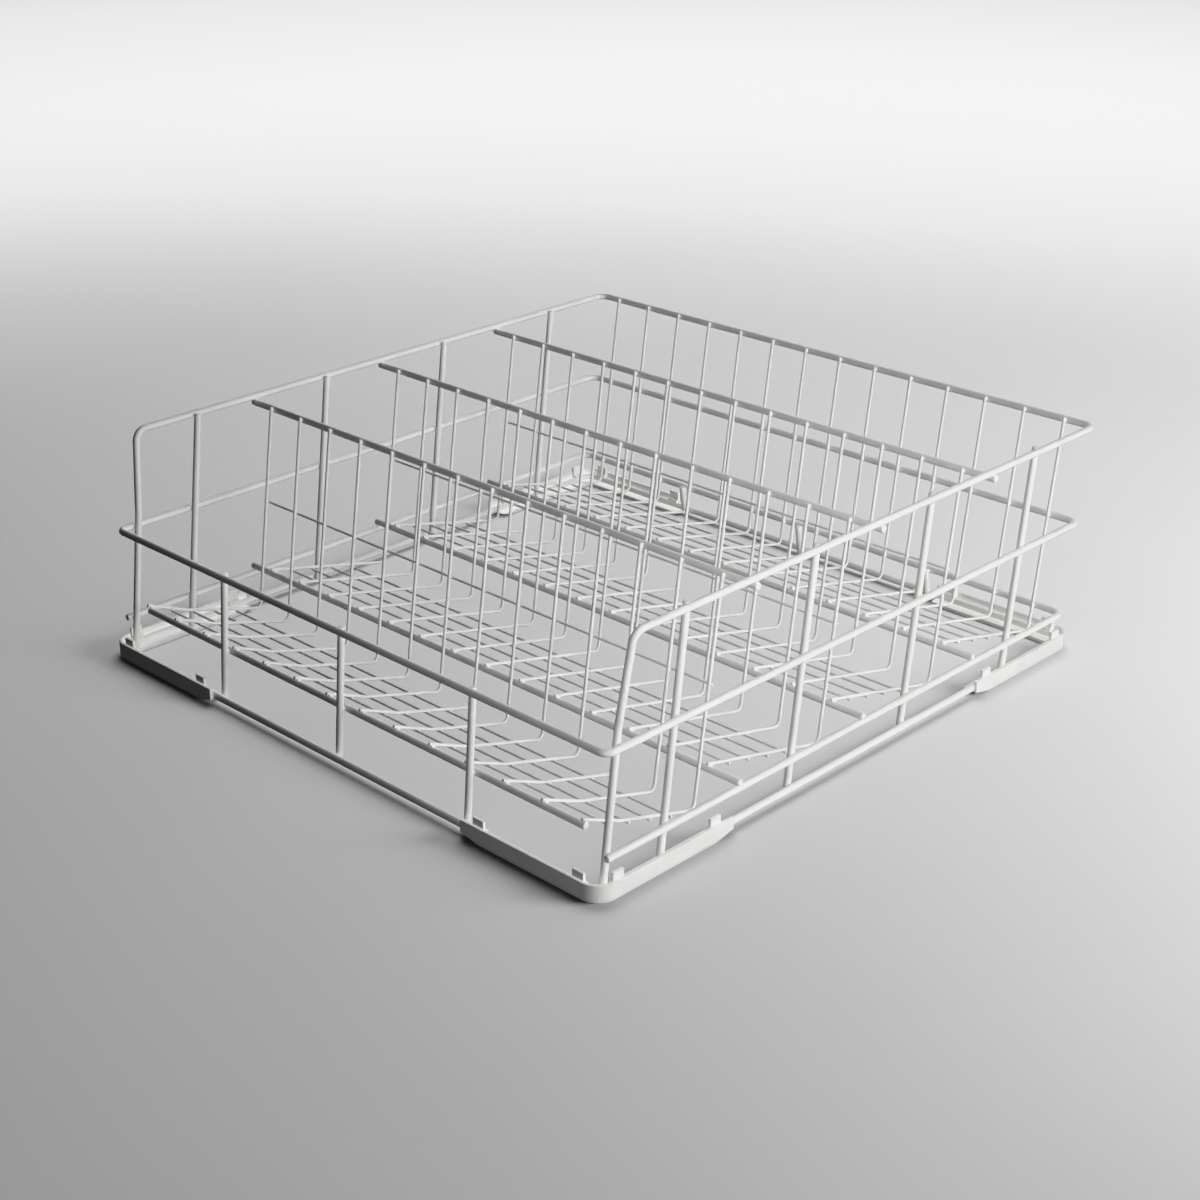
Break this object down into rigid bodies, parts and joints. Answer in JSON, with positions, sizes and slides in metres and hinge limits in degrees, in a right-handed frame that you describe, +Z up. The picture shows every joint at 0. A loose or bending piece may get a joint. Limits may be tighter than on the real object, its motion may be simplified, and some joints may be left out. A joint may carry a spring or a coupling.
{
  "type": "dishwasher basket",
  "caption": "Square coated wire dishwasher basket with slanted plate rows, leaning dividers and posts, and moulded corner glides.",
  "frame": {"origin": "on the floor under the middle of the bounding box", "axes": "+X to the right along the front, +Y to the back, +Z up"},
  "size_m": [0.5, 0.5148, 0.1685],
  "materials": {
    "coated_frame_wire": "satin white nylon coat on steel wire",
    "coated_row_wire": "satin white nylon coat on steel wire",
    "coated_cross_wire": "satin white nylon coat on thin steel wire",
    "moulded_glide": "moulded white polypropylene"
  },
  "bodies": {
    "root": {"back_post_1": "coated_frame_wire", "back_post_2": "coated_frame_wire", "back_post_3": "coated_frame_wire", "base_ring": "coated_frame_wire", "front_post_1": "coated_frame_wire", "front_post_2": "coated_frame_wire", "front_post_3": "coated_frame_wire", "glide_back_left": "moulded_glide", "glide_back_right": "moulded_glide", "glide_front_left": "moulded_glide", "glide_front_right": "moulded_glide", "left_post_1": "coated_frame_wire", "left_post_2": "coated_frame_wire", "left_post_3": "coated_frame_wire", "left_post_4": "coated_frame_wire", "lower_rail": "coated_frame_wire", "middle_ring": "coated_frame_wire", "right_post_1": "coated_frame_wire", "right_post_2": "coated_frame_wire", "right_post_3": "coated_frame_wire", "right_post_4": "coated_frame_wire", "row_1_bent_wires": "coated_row_wire", "row_1_divider_bar": "coated_frame_wire", "row_1_divider_wire": "coated_cross_wire", "row_1_floor_wire_1": "coated_cross_wire", "row_1_floor_wire_2": "coated_cross_wire", "row_1_floor_wire_3": "coated_cross_wire", "row_1_floor_wire_4": "coated_cross_wire", "row_1_front_bar": "coated_frame_wire", "row_2_bent_wires": "coated_row_wire", "row_2_divider_bar": "coated_frame_wire", "row_2_divider_wire": "coated_cross_wire", "row_2_floor_wire_1": "coated_cross_wire", "row_2_floor_wire_2": "coated_cross_wire", "row_2_floor_wire_3": "coated_cross_wire", "row_2_floor_wire_4": "coated_cross_wire", "row_2_front_bar": "coated_frame_wire", "row_3_bent_wires": "coated_row_wire", "row_3_divider_bar": "coated_frame_wire", "row_3_divider_wire": "coated_cross_wire", "row_3_floor_wire_1": "coated_cross_wire", "row_3_floor_wire_2": "coated_cross_wire", "row_3_floor_wire_3": "coated_cross_wire", "row_3_floor_wire_4": "coated_cross_wire", "row_3_front_bar": "coated_frame_wire", "row_4_bent_wires": "coated_row_wire", "row_4_floor_wire_1": "coated_cross_wire", "row_4_floor_wire_2": "coated_cross_wire", "row_4_floor_wire_3": "coated_cross_wire", "row_4_floor_wire_4": "coated_cross_wire", "row_4_front_bar": "coated_frame_wire", "top_rail": "coated_frame_wire"}
  },
  "joints": []
}
